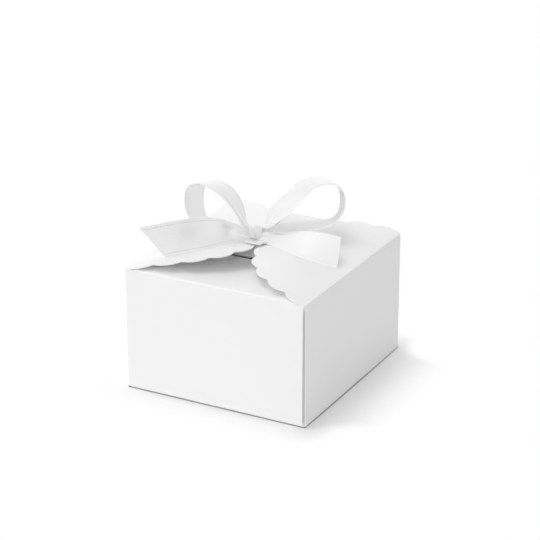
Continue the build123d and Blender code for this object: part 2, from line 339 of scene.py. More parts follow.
def makeWall(name, half, distance, top, cornerTop, turn, leftCorner, rightCorner, footLift):
    left = [(-s, d, -a, c, g) for s, d, a, c, g in reversed(wallPlan(half, leftCorner)[1:])]
    plan = left + wallPlan(half, rightCorner)
    bottom = footLift + wall["foot"]
    levels = wallLevels(top, bottom)
    seamTop = [top - d for d in wall["seamTop"]]
    seamFoot = (bottom - wall["seamFoot"][0], bottom + wall["seamFoot"][1])
    outer, inner, creases, seamShades = [], [], [], []
    for z, tuck, down in levels:
        parted = (1 - ease(z, *seamTop)) * ease(z, *seamFoot)
        flare = wall["flare"] * (1 - ease(z, bottom, bottom + wall["flareHeight"]))
        shoulder = (cornerTop - top) * ease(z, top - wall["shoulderHeight"], top)
        for s, d, angle, crease, groove in plan:
            hollow = wall["bow"] * (1 - (s / half) ** 2) * math.sin(math.pi * z / top) if not angle else 0
            flat = Vector((math.sin(angle), -math.cos(angle), 0))
            normal = flat * math.cos(down) - Vector((0, 0, math.sin(down)))
            sunk = wall["seamDepth"] * groove * parted
            rise = shoulder * ease(abs(s), *wall["shoulder"])
            point = Vector((s, d + hollow + sunk - distance, z + rise)) + flat * (flare - tuck)
            outer.append(point)
            inner.append(point - normal * (box["card"] - sunk))
            creases.append(max(crease, 1.0 if down else 0.0, ease(z, top - wall["topMark"], top)))
            # the seam mark: where the glued seam's groove gets painted shade
            seamShades.append(parted if groove else 0.0)
    turned = Matrix.Rotation(math.radians(turn), 3, "Z")
    faces = sheetFaces(len(levels), len(plan), False)
    marks = {"crease": creases * 2, "seam": seamShades * 2}
    return dress(place(name, [turned @ p for p in outer + inner], faces, marks), whiteCard)


underFlap, cornerTop = innerAxisZ + wall["foldRise"], lidAxisZ + wall["cornerRise"]
wallJobs = [        # piece, node, half length, distance, top, top at the corners, turn, corners, foot's lift
    ("frontWall", "front_wall", halfWidth, halfDepth, underFlap, cornerTop, 0, "mitre", "cut", 0.36),
    ("rightWall", "right_wall", halfDepth, halfWidth, lidAxisZ, lidAxisZ, 90, "fold", "mitre", 0.18),
    ("rearWall", "rear_wall", halfWidth, halfDepth, underFlap, cornerTop, 180, "mitre", "mitre", 0.25),
    ("leftWall", "left_wall", halfDepth, halfWidth, lidAxisZ, lidAxisZ, 270, "mitre", "mitre", 0.25),
]
for name, node, *job in wallJobs:
    keep(makeWall(name, *job), "carton", node)
for node in ("glue_tab", "base_front_flap", "base_rear_flap", "base_left_flap", "base_right_flap"):
    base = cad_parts[node]
    base.data.materials.clear()
    base.data.materials.append(whiteCard)
print("walls and base done")


# scalloped lid flaps, by rule
lid = {
    "scallops": 11, "pointsPerScallop": 14, "rowsPerSide": 24, "beadRows": 4, "cornerGap": 0.35, "shoulder": 1.75,
    "holeSetback": 6.7, "holeDiameter": 6.0, "holeSides": 56,
}


def scallopTree():
    tree = bpy.data.node_groups.new("scallopedFlap", "GeometryNodeTree")
    kinds = {"Scallops": "NodeSocketInt", "Material": "NodeSocketMaterial"}
    inputs = ("Scallops", "Scallop Height", "Tip Scallop", "Reach", "Half Crease", "Shoulder", "Bow", "Half Card",
              "Hole Reach", "Hole Diameter", "Material")
    for label in inputs:
        tree.interface.new_socket(label, in_out="INPUT", socket_type=kinds.get(label, "NodeSocketFloat"))
    tree.interface.new_socket("Flap", in_out="OUTPUT", socket_type="NodeSocketGeometry")
    board = NodeBoard(tree)
    given = board.add("NodeGroupInput")
    size = {label: given.out(label) for label in inputs}

    rows = 2 * lid["rowsPerSide"] + 1
    points = lid["scallops"] * lid["pointsPerScallop"] + 1
    grid = board.add("GeometryNodeMeshGrid", None, {
        "Size X": 1, "Size Y": 1, "Vertices X": rows, "Vertices Y": points})
    where = board.add("GeometryNodeInputPosition")
    split = board.add("ShaderNodeSeparateXYZ", None, {0: where}, out="X")
    turn, share = split * 2, split.out("Y") + 0.5       # -1..1 over the card's section, 0..1 along the rim
    row = abs(turn) * lid["rowsPerSide"]
    side = turn.maths("SIGN")

    # rim: arcs between notches that stand on an ellipse, the one at the tip flatter
    step = math.pi / size["Scallops"]
    notchU = (size["Reach"] - size["Tip Scallop"]) / (step / 2).cosine()
    notchV = size["Half Crease"] - size["Shoulder"]
    count = share * size["Scallops"]
    index = count.floor().smaller(size["Scallops"] - 1)
    run = count - index

    def notch(i):
        ends = i.above(size["Scallops"] - 0.5) - (0.5 - i).above(0)
        return notchU * (i * step).sine(), size["Shoulder"] * ends - notchV * (i * step).cosine()

    startU, startV = notch(index)
    endU, endV = notch(index + 1)
    chordU, chordV = endU - startU, endV - startV
    chord = (chordU * chordU + chordV * chordV).root()
    atTip = index.maths("COMPARE", (size["Scallops"] / 2).floor(), 0.5)
    rise = size["Scallop Height"] + (size["Tip Scallop"] - size["Scallop Height"]) * atTip
    radius = (chord * chord / 4 + rise * rise) / (rise * 2)
    angle = (chord / 2 / radius).maths("ARCSINE") * (run * 2 - 1)
    over = radius * angle.cosine() - radius + rise
    middle = radius * angle.sine() / chord + 0.5
    rimU = startU + chordU * middle + chordV / chord * over
    rimV = startV + chordV * middle - chordU / chord * over

    # section: a round bead on the crease, then both faces of the card out to the rim
    bead = (row / lid["beadRows"]).smaller(1) * (math.pi / 2)
    sheet = (row - lid["beadRows"]) / (lid["rowsPerSide"] - 1 - lid["beadRows"])
    eased = sheet.larger(0).smaller(1)
    reach = eased * eased * (3 - eased * 2)         # rows closer at the crease and at the rim
    flapU = rimU * reach
    creaseV = size["Half Crease"] * (share * 2 - 1)
    flapV = creaseV + (rimV - creaseV) * reach
    length = size["Reach"] + size["Tip Scallop"]
    bend = (length * length / 4 + size["Bow"] * size["Bow"]) / (size["Bow"] * 2)
    fromTop = flapU - length / 2
    drop = (bend * bend - fromTop * fromTop).root()
    lean = -fromTop / bend          # sine of the slope
    level = drop / bend
    ends = (share.smaller(1 - share) * (points - 1)).smaller(1)     # closed to a point at the crease's ends
    half = size["Half Card"] * ends
    lift = half * side * bead.sine() * (lid["rowsPerSide"] - row).smaller(1)
    back = half * bead.cosine()
    spot = board.add("ShaderNodeCombineXYZ", None, {
        "X": flapU - back * level - lift * lean, "Y": flapV,
        "Z": drop - bend + size["Bow"] - back * lean + lift * level})
    shaped = board.add("GeometryNodeSetPosition", None, {"Geometry": grid, "Position": spot})
    marks = {"crease": 1 - (flapU / (box["creaseMark"] * mm)).smaller(1),
             "cutEdge": row.above(lid["rowsPerSide"] - 1.5)}        # the last row
    for label, value in marks.items():
        shaped = board.add("GeometryNodeStoreNamedAttribute", {"data_type": "FLOAT", "domain": "POINT"}, {
            "Geometry": shaped, "Name": label, "Value": value})
    joined = board.add("GeometryNodeMergeByDistance", None, {"Geometry": shaped, "Distance": weld})
    punch = board.add("GeometryNodeMeshCylinder", None, {
        "Vertices": lid["holeSides"], "Radius": size["Hole Diameter"] / 2, "Depth": size["Reach"]})
    spotHole = board.add("ShaderNodeCombineXYZ", None, {"X": size["Hole Reach"]})
    tool = board.add("GeometryNodeTransform", None, {"Geometry": punch, "Translation": spotHole})
    how = {"operation": "DIFFERENCE", "solver": "EXACT"}
    cut = board.add("GeometryNodeMeshBoolean", how, {0: joined, 1: tool})
    real = board.add("GeometryNodeRealizeInstances", None, {"Geometry": cut})
    finish = board.add("GeometryNodeSetMaterial", None, {"Geometry": real, "Material": size["Material"]})
    board.add("NodeGroupOutput", None, {0: finish})
    return tree


def runTree(name, tree, values):        # one plain mesh from a node tree
    host = addObject(name + "Host", bpy.data.meshes.new(name + "Host"))
    modifier = host.modifiers.new("rule", "NODES")
    modifier.node_group = tree
    for item in tree.interface.items_tree:
        if item.in_out == "INPUT":
            modifier[item.identifier] = values[item.name]
    host.update_tag()
    graph = bpy.context.evaluated_depsgraph_get()
    mesh = bpy.data.meshes.new_from_object(
        host.evaluated_get(graph), preserve_all_data_layers=True, depsgraph=graph)
    mesh.name = name
    host.modifiers.remove(modifier)
    bpy.data.objects.remove(host)
    return mesh


scallopRule = scallopTree()
lidSizes = {
    "Scallops": lid["scallops"], "Scallop Height": box["scallopHeight"] * mm,
    "Tip Scallop": box["tipScallop"] * mm, "Reach": lidReach * mm,
    "Half Crease": (halfDepth - lid["cornerGap"]) * mm, "Shoulder": lid["shoulder"] * mm,
    "Bow": box["lidBow"] * mm, "Half Card": halfCard * mm, "Hole Reach": (lidReach - lid["holeSetback"]) * mm,
    "Hole Diameter": lid["holeDiameter"] * mm, "Material": whiteCard,
}
for name, node, body, spin in (("leftLidFlap", "left_lid_flap", "left_lid", 0),
                               ("rightLidFlap", "right_lid_flap", "right_lid", math.pi)):
    mesh = runTree(name, scallopRule, lidSizes)
    hinge = Matrix.Translation((-lidAxisX * mm, 0, lidAxisZ * mm))
    mesh.transform(Matrix.Rotation(spin, 4, "Z") @ hinge @ Matrix.Rotation(-tilt, 4, "Y"))
    keep(dress(addPiece(mesh, False), whiteCard), body, node)
    print(name, len(mesh.polygons), "faces")


# plain inner flaps under the lid
inner = {
    "meetGap": 2.0, "sag": 5.7, "bow": 0.3, "sideGap": 1.8, "taper": 18.0, "corner": 4.0,
    "rise": 0.7, "riseEnds": (31.0, 33.2), "riseFade": (2, 26),     # the fold stands up to the lid
    "beadTop": (0.7, 0.65), "beadUnder": (0.3, 0.25), "beadRows": 5, "inset": 0.5,
    "rows": 18, "sideRows": 14, "sidePower": 1.3, "cornerRows": 10, "edgeRows": 12,
}
innerReach = (innerAxisY - inner["meetGap"] / 2) / math.cos(math.radians(inner["sag"]))


def innerRim():     # (reach, place along the crease) round the free edge
    base = halfWidth - inner["sideGap"]
    slope = math.tan(math.radians(inner["taper"]))
    tip = base - innerReach * slope
    corner, sideRows, cornerRows = inner["corner"], inner["sideRows"], inner["cornerRows"]
    turn = math.radians(90 - inner["taper"])        # from the side's run to the free edge's run
    back = corner * math.tan(turn / 2)
    away = Vector((math.cos(math.radians(inner["taper"])), math.sin(math.radians(inner["taper"]))))
    tangent = Vector((innerReach, -tip)) - away * back
    centre = tangent + Vector((-away.y, away.x)) * corner
    side = [Vector((0, -base)).lerp(tangent, (i / sideRows) ** inner["sidePower"]) for i in range(sideRows + 1)]
    begin = math.atan2(tangent.y - centre.y, tangent.x - centre.x)
    angles = [begin + turn * i / cornerRows for i in range(1, cornerRows + 1)]
    return side + [centre + corner * Vector((math.cos(a), math.sin(a))) for a in angles]


def makeInnerFlap(name, spin):
    half = innerRim()
    edgeRows = inner["edgeRows"]
    middle = [half[-1].lerp(Vector((half[-1].x, -half[-1].y)), i / edgeRows) for i in range(1, edgeRows)]
    rim = half + middle + [Vector((p.x, -p.y)) for p in reversed(half)]
    base = -rim[0].y
    curve = (innerReach ** 2 / 4 + inner["bow"] ** 2) / (2 * inner["bow"])
    reaches = [ease(1 - i / inner["rows"], 0, 1) for i in range(inner["rows"] + 1)]
    turns = [math.pi / 2 * i / inner["beadRows"] for i in range(1, inner["beadRows"] + 1)]
    (out, down), (outUnder, downUnder) = inner["beadTop"], inner["beadUnder"]
    section = [(1.0, 0.0, 0.0)] + [(reach, 0.0, halfCard) for reach in reaches]     # reach, past, over
    section += [(0.0, -out * math.sin(t), halfCard - down * (1 - math.cos(t))) for t in turns]
    section += [(0.0, -outUnder * math.sin(t), -halfCard - downUnder * (1 - math.cos(t)))
                for t in reversed(turns)]
    section += [(reach, 0.0, -halfCard) for reach in reversed(reaches)]
    points, creases, cuts = [], [], []
    for i, edge in enumerate(rim):
        share = math.sin(math.pi / 2 * (2 * i / (len(rim) - 1) - 1))
        thin = min(1, i, len(rim) - 1 - i)      # closed to a point at the crease's ends
        inset = inner["inset"] * thin
        for reach, past, over in section:
            u, v = inset + (edge.x - inset) * reach, share * base * (1 - reach) + edge.y * reach
            fall = math.sqrt(curve ** 2 - (u - innerReach / 2) ** 2)
            lean, level = -(u - innerReach / 2) / curve, fall / curve
            rise = inner["rise"] * (1 - ease(abs(v), *inner["riseEnds"])) * (1 - ease(u, *inner["riseFade"]))
            points.append((u + thin * (past * level - over * lean), v,
                           fall - curve + inner["bow"] + rise + thin * (past * lean + over * level)))
            creases.append(1 - min(1, u / box["creaseMark"]))
            cuts.append(1.0 if reach == 1 else 0.0)
    rows = len(section)
    faces = [[i * rows + j, (i + 1) * rows + j, (i + 1) * rows + (j + 1) % rows, i * rows + (j + 1) % rows]
             for i in range(len(rim) - 1) for j in range(rows)]
    swing = (Matrix.Rotation(spin, 4, "Z") @ Matrix.Translation((0, -innerAxisY, innerAxisZ))
             @ Matrix.Rotation(math.pi / 2, 4, "Z") @ Matrix.Rotation(math.radians(inner["sag"]), 4, "Y"))
    piece = place(name, [swing @ Vector(p) for p in points], faces, {"crease": creases, "cutEdge": cuts})
    return dress(piece, whiteCard)


keep(makeInnerFlap("frontInnerFlap", 0), "front_inner", "front_inner_flap")
keep(makeInnerFlap("rearInnerFlap", math.pi), "rear_inner", "rear_inner_flap")
print("flaps done")


# satin ribbon: one strip, tied in a bow
ribbon = {
    "width": box["ribbon"], "thick": 0.17, "selvageThick": 0.24, "selvage": 1.15, "selvageFade": (0.3, 0.9),
    "rim": 0.13, "rimThin": 0.4, "grooveDepth": 0.04, "grooveWidth": 0.12, "strapGap": 0.15, "strapThick": 0.4,
    "edgeColumns": [0.0, 0.05, 0.13, 0.26, 0.45, 0.75, 1.0, 1.15, 1.3, 1.6], "inside": 2.0, "insideColumns": 29,
    "step": 0.4, "gather": (4.0, 10.5), "pleatTurn": 0.03, "pleatFade": 6,
}
knot = {
    "x": -3.0, "y": -2.1, "turn": 22.0, "radius": 2.5, "width": 4.8, "gap": 0.02, "layer": 0.13, "rows": 110,
    "core": 2.06, "wrap": 2.2, "crown": 0.16, "sway": (0.22, 0.6),
    "pleat": 0.06, "pleats": 3.4, "pleatSway": (1.6, 0.5), "pleatPhase": 0.9,
    "pinches": ((2.4, 0.30), (4.2, 0.22)), "pinchWidth": 0.6,
    "squareness": 3.4, "squareTurn": 0.3, "flatUnder": 0.12, "underEnds": (0.5, 1.0),
}


def lidTop(x):      # upper face of a closed lid flap
    reach = (lidAxisX - abs(x)) / math.cos(tilt)
    share = reach / lidLength
    return lidAxisZ + reach * math.sin(tilt) + 4 * box["lidBow"] * share * (1 - share) + halfCard


holeX = lidAxisX - (lidReach - lid["holeSetback"]) * math.cos(tilt)
tipTops = [lidTop(holeX * i / 10) for i in range(1, 11)]
strapTop = max(tipTops) + 2 * ribbon["strapGap"] + ribbon["strapThick"]
knotCentre = Vector((knot["x"], knot["y"], strapTop + knot["gap"] + knot["radius"]))
knotTurn = math.radians(knot["turn"])
knotAxis = Vector((math.cos(knotTurn), math.sin(knotTurn), 0))
knotAcross = Vector((-math.sin(knotTurn), math.cos(knotTurn), 0))


def byKnot(along, across, rise):        # a place from the knot's centre
    return knotCentre + knotAxis * along + knotAcross * across + Vector((0, 0, rise))


def splineThrough(points, places, samples):     # natural cubic through the points
    points, places = np.array(points, float), np.array(places, float)
    count = len(places)
    gaps = np.diff(places)
    table, right = np.eye(count), np.zeros((count, 3))
    for i in range(1, count - 1):
        table[i, i - 1], table[i, i], table[i, i + 1] = gaps[i - 1], 2 * (gaps[i - 1] + gaps[i]), gaps[i]
        right[i] = 6 * ((points[i + 1] - points[i]) / gaps[i] - (points[i] - points[i - 1]) / gaps[i - 1])
    bends = np.linalg.solve(table, right)
    spans = np.clip(np.searchsorted(places, samples, side="right") - 1, 0, count - 2)
    h, a, b = gaps[spans], places[spans + 1] - samples, samples - places[spans]
    h, a, b = h[:, None], a[:, None], b[:, None]
    return ((bends[spans] * a ** 3 + bends[spans + 1] * b ** 3) / (6 * h)
            + (points[spans] / h - bends[spans] * h / 6) * a
            + (points[spans + 1] / h - bends[spans + 1] * h / 6) * b)


def ribbonColumns():        # distances over the flat ribbon, closer at the woven edges
    edge, width = ribbon["edgeColumns"], ribbon["width"]
    inside = list(np.linspace(ribbon["inside"], width - ribbon["inside"], ribbon["insideColumns"]))
    return edge + inside + [width - e for e in reversed(edge)]


def ribbonThickness(across):
    edge = min(across, ribbon["width"] - across)
    if edge < ribbon["rim"]:
        thin = ribbon["rimThin"]
        return ribbon["selvageThick"] / 2 * (thin + (1 - thin) * math.sqrt(edge / ribbon["rim"]))
    groove = ribbon["grooveDepth"] * math.exp(-((edge - ribbon["selvage"]) / ribbon["grooveWidth"]) ** 2)
    thinner = (ribbon["thick"] - ribbon["selvageThick"]) * ease(edge, *ribbon["selvageFade"])
    return (ribbon["selvageThick"] + thinner - groove) / 2


def makeRibbon(name, edges, spec):
    nears, fars = [e[0] for e in edges], [e[1] for e in edges]
    places = runLengths([(a + b) / 2 for a, b in edges])
    samples = np.linspace(0, places[-1], int(places[-1] / ribbon["step"]))
    near, far = splineThrough(nears, places, samples), splineThrough(fars, places, samples)
    middle = (near + far) / 2
    onward = np.gradient(middle, axis=0)
    lengths = np.concatenate([[0], np.cumsum(np.linalg.norm(np.diff(middle, axis=0), axis=1))])
    columns = ribbonColumns()
    share = np.array(columns) / ribbon["width"]
    sheet = near[:, None, :] + (far - near)[:, None, :] * share[None, :, None]
    up = np.cross(far - near, onward)
    up /= np.linalg.norm(up, axis=1)[:, None]
    widths = np.linalg.norm(far - near, axis=1)
    # lift shapes the sheet; the second array paints light and shade into the colour
    lift, paintedLightAndGrain = np.zeros(sheet.shape[:2]), np.zeros(sheet.shape[:2])
    for j, width in enumerate(widths):
        gather = spec["pleatDepth"] * (1 - ease(width, *ribbon["gather"]))
        wave = np.sin(2 * math.pi * spec["pleats"] * share + spec["phase"] + ribbon["pleatTurn"] * lengths[j])
        lift[j] = gather * wave * np.minimum(1, ribbon["pleatFade"] * np.minimum(share, 1 - share))
        for fold in spec["folds"]:
            fade = ease(lengths[j], *fold["from"]) * (1 - ease(lengths[j], *fold["to"]))
            lift[j] += fold["height"] * fade * np.exp(-((share - fold["across"]) / fold["spread"]) ** 2)
        for dentOrPaintedLight in spec["dentsAndPaintedLight"]:      # places and sizes: millimetres along, share across
            (along, across), (long, wide) = dentOrPaintedLight["at"], dentOrPaintedLight["size"]
            patch = np.exp(-((lengths[j] - along) / long) ** 2 - ((share - across) / wide) ** 2)
            lift[j] += dentOrPaintedLight.get("height", 0) * patch
            paintedLightAndGrain[j] += dentOrPaintedLight["paintedLightAndGrain"] * patch
    sheet = sheet + up[:, None, :] * lift[:, :, None]
    print(name, "length", round(float(lengths[-1]), 1), "mm")
    return makeStrip(name, sheet, lengths, False, paintedLightAndGrain), float(lengths[-1])


def makeStrip(name, sheet, lengths, closed, paintedLightAndGrain=None):     # thickness and woven edges for a grid
    rows, count = sheet.shape[:2]
    onward = np.roll(sheet, -1, axis=0) - np.roll(sheet, 1, axis=0) if closed else np.gradient(sheet, axis=0)
    normal = np.cross(np.gradient(sheet, axis=1), onward)
    normal /= np.linalg.norm(normal, axis=2)[:, :, None]
    columns = ribbonColumns()
    thick = np.array([ribbonThickness(c) for c in columns])
    top, bottom = sheet + normal * thick[None, :, None], sheet - normal * thick[None, :, None]
    points = [Vector(p) for p in top.reshape(-1, 3)] + [Vector(p) for p in bottom.reshape(-1, 3)]
    weave = [(c, lengths[r]) for r in range(rows) for c in columns] * 2
    faces, under = sheetFaces(rows, count, closed), rows * count
    marks = {"back": [1.0] * under + [0.0] * under}
    # the painted light and shade goes to the material as a mark
    if paintedLightAndGrain is not None:
        marks["paintedLightAndGrain"] = [float(t) for t in paintedLightAndGrain.reshape(-1)] * 2
    return dress(place(name, points, faces, marks, weave), whiteSatin)


def letterFold(width, layer):       # the strip folded in three: (place across, height) for each column
    half, small, large = width / 2, layer, 1.5 * layer      # radii of the two turns
    tuck = (ribbon["width"] - 4 * half - math.pi * (small + large) + 4 * layer) / 2
    turns = [math.pi * i / 8 for i in range(1, 9)]
    path = [Vector((tuck, -2 * small)), Vector((small - half, -2 * small))]
    path += [Vector((small - half - small * math.sin(t), -small - small * math.cos(t))) for t in turns]
    path += [Vector((half - large, 0))]
    path += [Vector((half - large + large * math.sin(t), large * (math.cos(t) - 1))) for t in turns]
    path += [Vector((-tuck, -2 * large))]
    places = runLengths(path)
    columns = np.array(ribbonColumns()) * places[-1] / ribbon["width"]
    return np.interp(columns, places, [p.x for p in path]), np.interp(columns, places, [p.y for p in path])


def raised(stations, height):       # stations in plan, over the strap or over the lid flap
    return [tuple(Vector((x, y, z + height(x))) for x, y, z in pair) for pair in stations]


# each ribbon's dents shape it, and their tones paint light and shade into its colour; entries without a height
# only paint light and shade
leftLoop = {
    "pleats": 2.5, "pleatDepth": 0.14, "phase": 0.4, "folds": [
        {"across": 0.30, "height": -1.0, "spread": 0.10, "from": (0.5, 3), "to": (12, 20)},
    ],
    "dentsAndPaintedLight": [
        {"at": (37, 0.5), "paintedLightAndGrain": 1.0, "size": (10, 2.0)},
        {"at": (13, 0.75), "paintedLightAndGrain": 0.9, "size": (9, 0.32)},
        {"at": (9, 0.30), "paintedLightAndGrain": -0.7, "size": (6, 0.05)},
    ],
    "leaves": [((-1.2, -0.7, 0.5), (-1.2, 0.7, 0.9)), ((-2.9, -0.8, 1.6), (-2.5, 1.1, 2.0))],
    "returns": [((-2.4, -0.25, 0.0), (-2.4, 1.25, 0.0)), ((-1.2, -0.3, 0.0), (-1.2, 0.7, 0.0))],
    "stations": [
        ((-9.2, -5.1, 9.0), (-8.8, 1.0, 7.7)),
        ((-12.4, -6.2, 13.4), (-12.9, 4.8, 11.1)),
        ((-19.5, -6.8, 17.7), (-18.7, 4.8, 15.7)),
        ((-25.1, -7.3, 18.4), (-24.2, 4.3, 15.8)),
        ((-27.8, -7.5, 16.2), (-26.7, 4.2, 13.4)),
        ((-28.5, -7.6, 12.5), (-27.3, 3.9, 9.7)),
        ((-26.7, -8.0, 5.7), (-25.9, 3.3, 2.9)),
        ((-19.5, -7.3, 2.6), (-18.9, 3.2, 0.8)),
        ((-10.9, -4.6, 2.6), (-10.5, 1.6, 1.9)),
    ],
}
rightLoop = {
    "pleats": 2.5, "pleatDepth": 0.12, "phase": 2.2, "folds": [
        {"across": 0.45, "height": 0.45, "spread": 0.08, "from": (0.5, 2), "to": (5, 10)},
        {"across": 0.20, "height": -0.4, "spread": 0.12, "from": (0.5, 2), "to": (6, 11)},
    ],
    "dentsAndPaintedLight": [
        {"at": (60, 0.5), "paintedLightAndGrain": 1.0, "size": (12, 2.0)},
        {"at": (46, 0.5), "paintedLightAndGrain": 1.0, "size": (7, 2.0)},
        {"at": (30, 0.5), "paintedLightAndGrain": -0.30, "size": (10, 2.0)},
    ],
    "leaves": [((1.2, -0.3, 0.5), (1.2, 0.7, 0.5)), ((2.4, -0.3, 0.95), (2.4, 1.2, 0.95))],
    "returns": [((2.4, -0.1, 0.1), (2.4, 1.3, 0.1)), ((1.2, -0.3, 0.0), (1.2, 0.7, 0.0))],
    "stations": [
        ((3.9, -0.6, 6.3), (-2.4, 5.8, 6.7)),
        ((9.0, 3.2, 10.8), (0.0, 11.4, 11.4)),
        ((13.3, 8.6, 17.0), (4.3, 16.7, 16.5)),
        ((18.1, 13.1, 19.0), (9.5, 21.2, 17.4)),
        ((22.4, 15.1, 16.6), (15.0, 24.2, 15.1)),
        ((23.8, 14.3, 11.4), (17.0, 24.1, 10.7)),
        ((22.2, 11.1, 6.4), (17.2, 21.0, 5.1)),
        ((14.2, 5.6, 3.2), (7.5, 15.3, 2.6)),
        ((5.7, 2.4, 1.8), (0.5, 9.6, 2.1)),
    ],
}
leftTail = {
    "pleats": 3.5, "pleatDepth": 0.18, "phase": 1.2, "folds": [
        {"across": 0.80, "height": 0.3, "spread": 0.10, "from": (2, 5), "to": (9, 14)},
    ],
    "dentsAndPaintedLight": [
        {"at": (5.8, 0.52), "height": 0.9, "paintedLightAndGrain": 0.6, "size": (1.6, 0.14)},
        {"at": (9.0, 0.70), "height": -0.9, "paintedLightAndGrain": -0.55, "size": (2.1, 0.17)},
        {"at": (9.6, 0.38), "height": -0.4, "paintedLightAndGrain": -0.30, "size": (1.8, 0.15)},
        {"at": (13.6, 0.48), "height": 0.4, "paintedLightAndGrain": 0.45, "size": (3.2, 0.26)},
        {"at": (24.0, 0.58), "height": -0.25, "paintedLightAndGrain": -0.22, "size": (3.2, 0.30)},
    ],
    "leaves": [((-1.0, -0.9, -1.6), (-1.0, -0.7, 0.6)), ((-3.3, -1.9, -2.3), (-2.5, -1.2, 1.3))],
    "stations": [
        ((-8.9, -7.5, 0.13), (-9.6, -7.6, 7.7)),
        ((-14.0, -17.1, 0.15), (-17.8, -13.6, 10.4)),
        ((-19.1, -22.6, 0.15), (-21.8, -21.2, 12.0)),
        ((-24.8, -27.7, 0.15), (-32.6, -31.8, 12.9)),
    ],
}
rightTail = {
    "pleats": 2.0, "pleatDepth": 0.14, "phase": 0.0, "folds": [
        {"across": 0.97, "height": -0.8, "spread": 0.05, "from": (2, 4), "to": (9, 13)},
    ],
    "dentsAndPaintedLight": [
        {"at": (9.5, 0.91), "paintedLightAndGrain": -0.6, "size": (4, 0.035)},
        {"at": (27, 0.5), "paintedLightAndGrain": 0.9, "size": (8, 1.0)},
    ],
    "leaves": [((-0.2, -1.2, -1.8), (1.4, -1.0, -0.2)), ((0.8, -1.9, -2.3), (2.9, -1.7, 0.4))],
    "stations": [
        ((6.5, -5.2, 0.16), (3.9, -0.4, 3.3)),
        ((13.5, -7.4, 0.16), (9.4, 1.3, 4.2)),
        ((19.9, -8.3, 0.16), (16.7, 1.3, 6.4)),
        ((31.0, -6.1, 0.16), (28.0, 2.8, 7.6)),
    ],
}
overStrap, overLid = (lambda x: strapTop), lidTop
ribbonJobs = [
    ("leftLoop", "left_loop", leftLoop, overStrap), ("rightLoop", "right_loop", rightLoop, overStrap),
    ("leftTail", "left_tail", leftTail, overLid), ("rightTail", "right_tail", rightTail, overLid),
]
ribbonPieces = []
for name, node, spec, height in ribbonJobs:
    edges = [tuple(byKnot(*p) for p in pair) for pair in spec["leaves"]] + raised(spec["stations"], height)
    edges += [tuple(byKnot(*p) for p in pair) for pair in spec.get("returns", [])]
    piece, length = makeRibbon(name, edges, spec)
    keep(piece, "left_lid", node)
    ribbonPieces.append((piece, length))


# the knot: the strip wrapped once round the gathered middle, pinched where it tucks under
def makeKnot():
    across, height = letterFold(knot["width"], knot["layer"])
    half, rows, power = knot["width"] / 2, knot["rows"], knot["squareness"]
    sheet = np.zeros((rows, len(across), 3))
    for i in range(rows):
        turn = 2 * math.pi * i / rows           # 0 at the top, a quarter at the front
        pinch = 1 - sum(deep * math.exp(-((turn - at) / knot["pinchWidth"]) ** 2) for at, deep in knot["pinches"])
        radial = knotAcross * (-math.sin(turn)) + Vector((0, 0, math.cos(turn)))
        tipped = turn + knot["squareTurn"]
        square = (abs(math.cos(tipped)) ** power + abs(math.sin(tipped)) ** power) ** (-1 / power)
        square *= 1 - knot["flatUnder"] * ease(-math.cos(turn), *knot["underEnds"])
        sway = knot["sway"][0] * math.sin(turn + knot["sway"][1])
        phase = knot["pleatSway"][0] * math.sin(turn + knot["pleatSway"][1]) + knot["pleatPhase"]
        for j, (a, h) in enumerate(zip(across, height)):
            share = a / half
            pleat = knot["pleat"] * math.cos(knot["pleats"] * math.pi * share + phase)
            r = (knot["core"] + (knot["crown"] + pleat) * (1 - share ** 4) + h) * square
            sheet[i, j] = knotCentre + knotAxis * (a * pinch + sway) + radial * r
    total = 2 * math.pi * knot["wrap"]
    return makeStrip("bowKnot", sheet, [total * i / rows for i in range(rows)], True), total


knotPiece, knotLength = makeKnot()
keep(knotPiece, "left_lid", "bow_knot")


# the strap: the strip folded in three, through both holes and over the tips
strap = {
    "width": 4.0, "wide": 11.4, "y": -0.5, "wideY": -1.4, "layer": 0.10, "seat": 0.1, "drop": 1.85, "droop": 0.1,
    "middle": -2.0, "left": (2.5, 6.5), "right": (3.0, 5.6),        # where it spreads out under the knot
    "over": ((0, 0), (2.4, 0), (4.8, -0.06), (6.5, -0.3), (7.1, -0.75)),        # x, and height from the top run
    "under": ((6.9, 0.4), (6.2, 0.08), (4.4, 0), (0, 0)), "rows": 120,          # the same from the lower run
}


def makeStrap():
    high, low = strapTop - strap["seat"], strapTop - strap["drop"]
    slope = [Vector((x, 0, high + z)) for x, z in strap["over"]]
    slope += [Vector((x, 0, low + z)) for x, z in strap["under"]]
    route = slope + [Vector((-p.x, 0, p.z)) for p in reversed(slope[1:-1])]
    ring = route + [route[0]]
    places = runLengths(ring)
    total = float(places[-1])
    wrapped = ring[-4:-1] + ring + ring[1:4]        # three more points at each end close it smoothly
    wrappedPlaces = list(places[-4:-1] - total) + list(places) + list(places[1:4] + total)
    samples = np.linspace(0, total, strap["rows"], endpoint=False)
    line = splineThrough(wrapped, wrappedPlaces, samples)
    tangent = np.roll(line, -1, axis=0) - np.roll(line, 1, axis=0)
    tangent /= np.linalg.norm(tangent, axis=1)[:, None]
    outward = np.cross(tangent, np.array([0.0, -1.0, 0.0]))
    sideways = np.array([0.0, 1.0, 0.0])
    sheet = []
    for point, up, s in zip(line, outward, samples):
        past = (s - strap["middle"] + total / 2) % total - total / 2
        spread = 1 - ease(abs(past), *strap["right" if past > 0 else "left"])
        width = strap["width"] + (strap["wide"] - strap["width"]) * spread
        across, height = letterFold(width, strap["layer"])
        height = height - strap["droop"] * spread * (2 * across / width) ** 2
        y = strap["y"] + (strap["wideY"] - strap["y"]) * spread
        sheet.append(point + up * height[:, None] + sideways * (y + across)[:, None])
    return makeStrip("ribbonStrap", np.array(sheet), samples, True), total


strapPiece, strapLength = makeStrap()
keep(strapPiece, "left_lid", "ribbon_strap")
print("bow done")

for piece, length in ribbonPieces:
    length * mm
knotLength * mm
strapLength * mm


